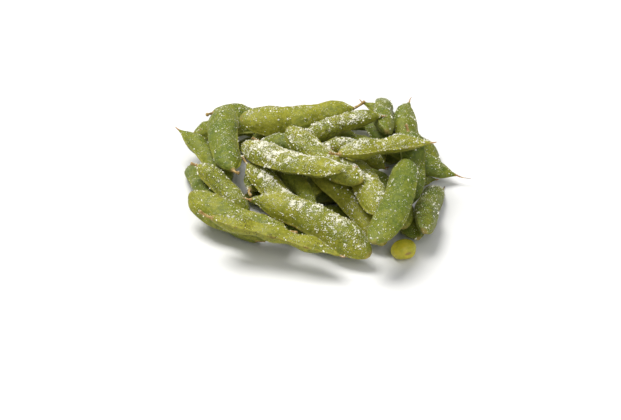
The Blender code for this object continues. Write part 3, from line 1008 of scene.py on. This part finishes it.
def pod_material():
    n = Nodes("pod_skin")
    local = n.attribute("local", "Vector")
    green, freckled_and_shaded = n.attribute("green"), n.attribute("freckled_and_shaded")
    dry, seam = n.attribute("dry"), n.attribute("seam")
    broad = n.noise(local, 95, 3)
    patches = n.noise(local, 300, 3, 0.6)
    fine = n.noise(local, 700, 4, 0.65)
    fibres = n.noise(n.stretched(local, (0.22, 1, 1)), 1500, 3, 0.6)

    # yellowish green to deep green, pod by pod, clouded over each pod
    clouded = n.maths("ADD", green, n.ranged(broad, 0.3, 0.7, -0.26, 0.26))
    clouded = n.maths("ADD", clouded, n.ranged(patches, 0.3, 0.7, -0.12, 0.12))
    pale = n.mix(n.ranged(fine, 0.35, 0.7), *YELLOWISH_GREEN)
    middle = n.mix(n.ranged(fine, 0.35, 0.7), *MIDDLE_GREEN)
    deep = n.mix(n.ranged(fine, 0.35, 0.7), *DEEP_GREEN)
    colour = n.mix(n.ranged(clouded, 0.0, 0.55), pale, middle)
    colour = n.mix(n.ranged(clouded, 0.5, 1.1), colour, deep)
    # faint lengthwise fibres
    colour = n.mix(n.ranged(fibres, 0.52, 0.72, 0.0, 0.22), colour, FIBRE_COLOUR)
    # the seams are yellower, with rusty stretches
    rust = n.maths("MULTIPLY", seam, n.ranged(n.noise(local, 240, 4, 0.65), 0.48, 0.64))
    rust = n.maths("MULTIPLY", rust, n.ranged(freckled_and_shaded, 0.0, 0.9, 0.45, 1.0))
    colour = n.mix(n.maths("MULTIPLY", seam, 0.4), colour, SEAM_COLOUR)
    colour = n.mix(n.maths("MULTIPLY", rust, 0.85), colour, RUST_COLOUR)
    # brown freckles, in patches, which are also painted shadow round the salt crystals
    freckles_and_salt_shadows = n.ranged(n.noise(local, 1500, 2, 0.5), 0.54, 0.64)
    freckles_and_salt_shadows = n.maths("MULTIPLY", freckles_and_salt_shadows, n.ranged(n.noise(local, 150, 2), 0.42, 0.62, 0.15, 1.0))
    colour = n.mix(n.maths("MULTIPLY", freckles_and_salt_shadows, freckled_and_shaded), colour, FRECKLE_AND_SALT_SHADOW_COLOUR)
    # pale hair roots, salt too fine to see as crystals, and painted glints of the hairs
    dust_and_glint_specks = n.ranged(n.cells(local, 1450), 0.10, 0.26, 1.0, 0.0)
    patchy_dust_and_glints = n.maths("MULTIPLY", dust_and_glint_specks, n.ranged(n.noise(local, 330, 2), 0.42, 0.66, 0.05, 0.55))
    colour = n.mix(patchy_dust_and_glints, colour, SALT_DUST_AND_GLINT_COLOUR)
    # dried stalk, calyx and beak
    husk = n.mix(n.ranged(fine, 0.35, 0.7), *HUSK_COLOURS)
    colour = n.mix(dry, colour, husk)
    n.feed("Base Color", colour)

    rough = n.ranged(fine, 0.3, 0.7, 0.44, 0.66)
    n.feed("Roughness", n.maths("ADD", rough, n.maths("MULTIPLY", dry, 0.2)))
    height = n.maths("ADD", n.maths("MULTIPLY", fibres, 0.6), n.maths("MULTIPLY", dust_and_glint_specks, 0.35))
    bumped = n.bump(height, 0.55, 0.00012)
    n.feed("Normal", n.bump(fine, 0.5, 0.0005, bumped))
    n.constants(
        Sheen_Weight=0.08,
        Sheen_Roughness=0.4,
        Sheen_Tint=(0.90, 0.92, 0.62, 1),
        Subsurface_Weight=0.10,
        Subsurface_Radius=(0.0016, 0.0018, 0.0005),
        Subsurface_Scale=1.0,
        IOR=1.36,
    )
    return n.material


def bean_material():
    n = Nodes("bean_skin")
    local = n.attribute("local", "Vector")
    hilum = n.attribute("seam")
    broad, fine = n.noise(local, 260, 3), n.noise(local, 1500, 4)
    colour = n.mix(n.ranged(broad, 0.3, 0.7), *BEAN_COLOURS)
    colour = n.mix(n.ranged(fine, 0.45, 0.75, 0, 0.5), colour, BEAN_FLECKS)
    colour = n.mix(n.ranged(hilum, 0.35, 0.8, 0, 0.8), colour, HILUM_COLOUR)
    n.feed("Base Color", colour)
    n.feed("Roughness", n.ranged(fine, 0.3, 0.7, 0.30, 0.46))
    n.feed("Normal", n.bump(fine, 0.35, 0.00015))
    n.constants(
        Subsurface_Weight=0.2, Subsurface_Radius=(0.002, 0.0018, 0.0005), Subsurface_Scale=1.0, IOR=1.45
    )
    return n.material


def salt_material():
    n = Nodes("salt_crystal")
    places = n.object_places()
    grey = n.noise(places, 900, 2)
    colour = n.mix(n.ranged(grey, 0.3, 0.7), *SALT_COLOURS)
    n.feed("Base Color", colour)
    n.feed("Roughness", n.ranged(grey, 0.3, 0.7, 0.12, 0.38))
    n.feed("Normal", n.bump(n.noise(places, 6000, 2), 0.3, 0.00006))
    n.constants(IOR=1.54)
    return n.material


def hair_material():
    n = Nodes("pod_hair")
    places = n.object_places()
    tone = n.noise(places, 1200, 2)
    n.feed("Base Color", n.mix(n.ranged(tone, 0.35, 0.65), *HAIR_COLOURS))
    n.feed("Roughness", n.ranged(tone, 0.3, 0.7, 0.35, 0.55))
    n.constants(IOR=1.5)
    return n.material


def floor_material():
    n = Nodes("pale_floor")
    places = n.object_places()
    shade = n.noise(places, 6, 3)
    n.feed("Base Color", n.mix(shade, *FLOOR_COLOURS))
    n.constants(Roughness=0.75)
    return n.material


# ---- stage


def make_camera():
    data = bpy.data.cameras.new("camera")
    data.lens, data.sensor_width, data.clip_end = CAMERA_LENS, CAMERA_SENSOR, CAMERA_SEES_TO
    camera = in_scene("camera", data)
    e = CAMERA_ELEVATION
    back = Vector((0, -math.cos(e), math.sin(e)))
    up = Vector((0, math.sin(e), math.cos(e)))
    aim = Vector((AIM_RIGHT, 0, 0)) + up * AIM_UP
    camera.location = aim + back * (VIEW_WIDTH * CAMERA_LENS / CAMERA_SENSOR)
    camera.rotation_euler = (-back).to_track_quat("-Z", "Y").to_euler()
    bpy.context.scene.camera = camera


def area_light(name, place, size, power, colour):
    """A square light that faces the origin."""
    data = bpy.data.lights.new(name, "AREA")
    data.size, data.energy, data.color = size, power, colour
    light = in_scene(name, data)
    light.location = place
    light.rotation_euler = (-Vector(place)).to_track_quat("-Z", "Y").to_euler()


def make_stage():
    mesh = bpy.data.meshes.new("floor")
    corners = [(x * FLOOR_HALF, y * FLOOR_HALF, 0) for x, y in ((-1, -1), (1, -1), (1, 1), (-1, 1))]
    mesh.from_pydata(corners, [], [(0, 1, 2, 3)])
    mesh.materials.append(floor_material())
    floor = in_scene("floor", mesh)
    floor.location.z = FLOOR_HEIGHT
    area_light("key", *KEY_LIGHT)
    area_light("fill", *FILL_LIGHT)
    world = bpy.data.worlds.new("studio")
    world.use_nodes = True
    sky = world.node_tree.nodes["Background"].inputs
    sky["Color"].default_value, sky["Strength"].default_value = (1, 1, 1, 1), SKY_STRENGTH
    bpy.context.scene.world = world
    bpy.context.scene.view_settings.view_transform = "Standard"


def clear_startup():
    for obj in list(bpy.data.objects):
        bpy.data.objects.remove(obj)


clear_startup()
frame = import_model()

make_camera()
make_stage()

skin, bean_skin = pod_material(), bean_material()
pods = {}
for number, name in enumerate(sorted(frame["nodes"])):
    rng = np.random.default_rng(POD_SEED + number)
    if name == "loose_bean":
        make_bean(frame["nodes"][name], bean_skin, rng)
    else:
        pods[name] = make_pod(name, frame["nodes"][name], skin, rng)
sprinkle(pods, frame["nodes"])
grow_hairs(pods)
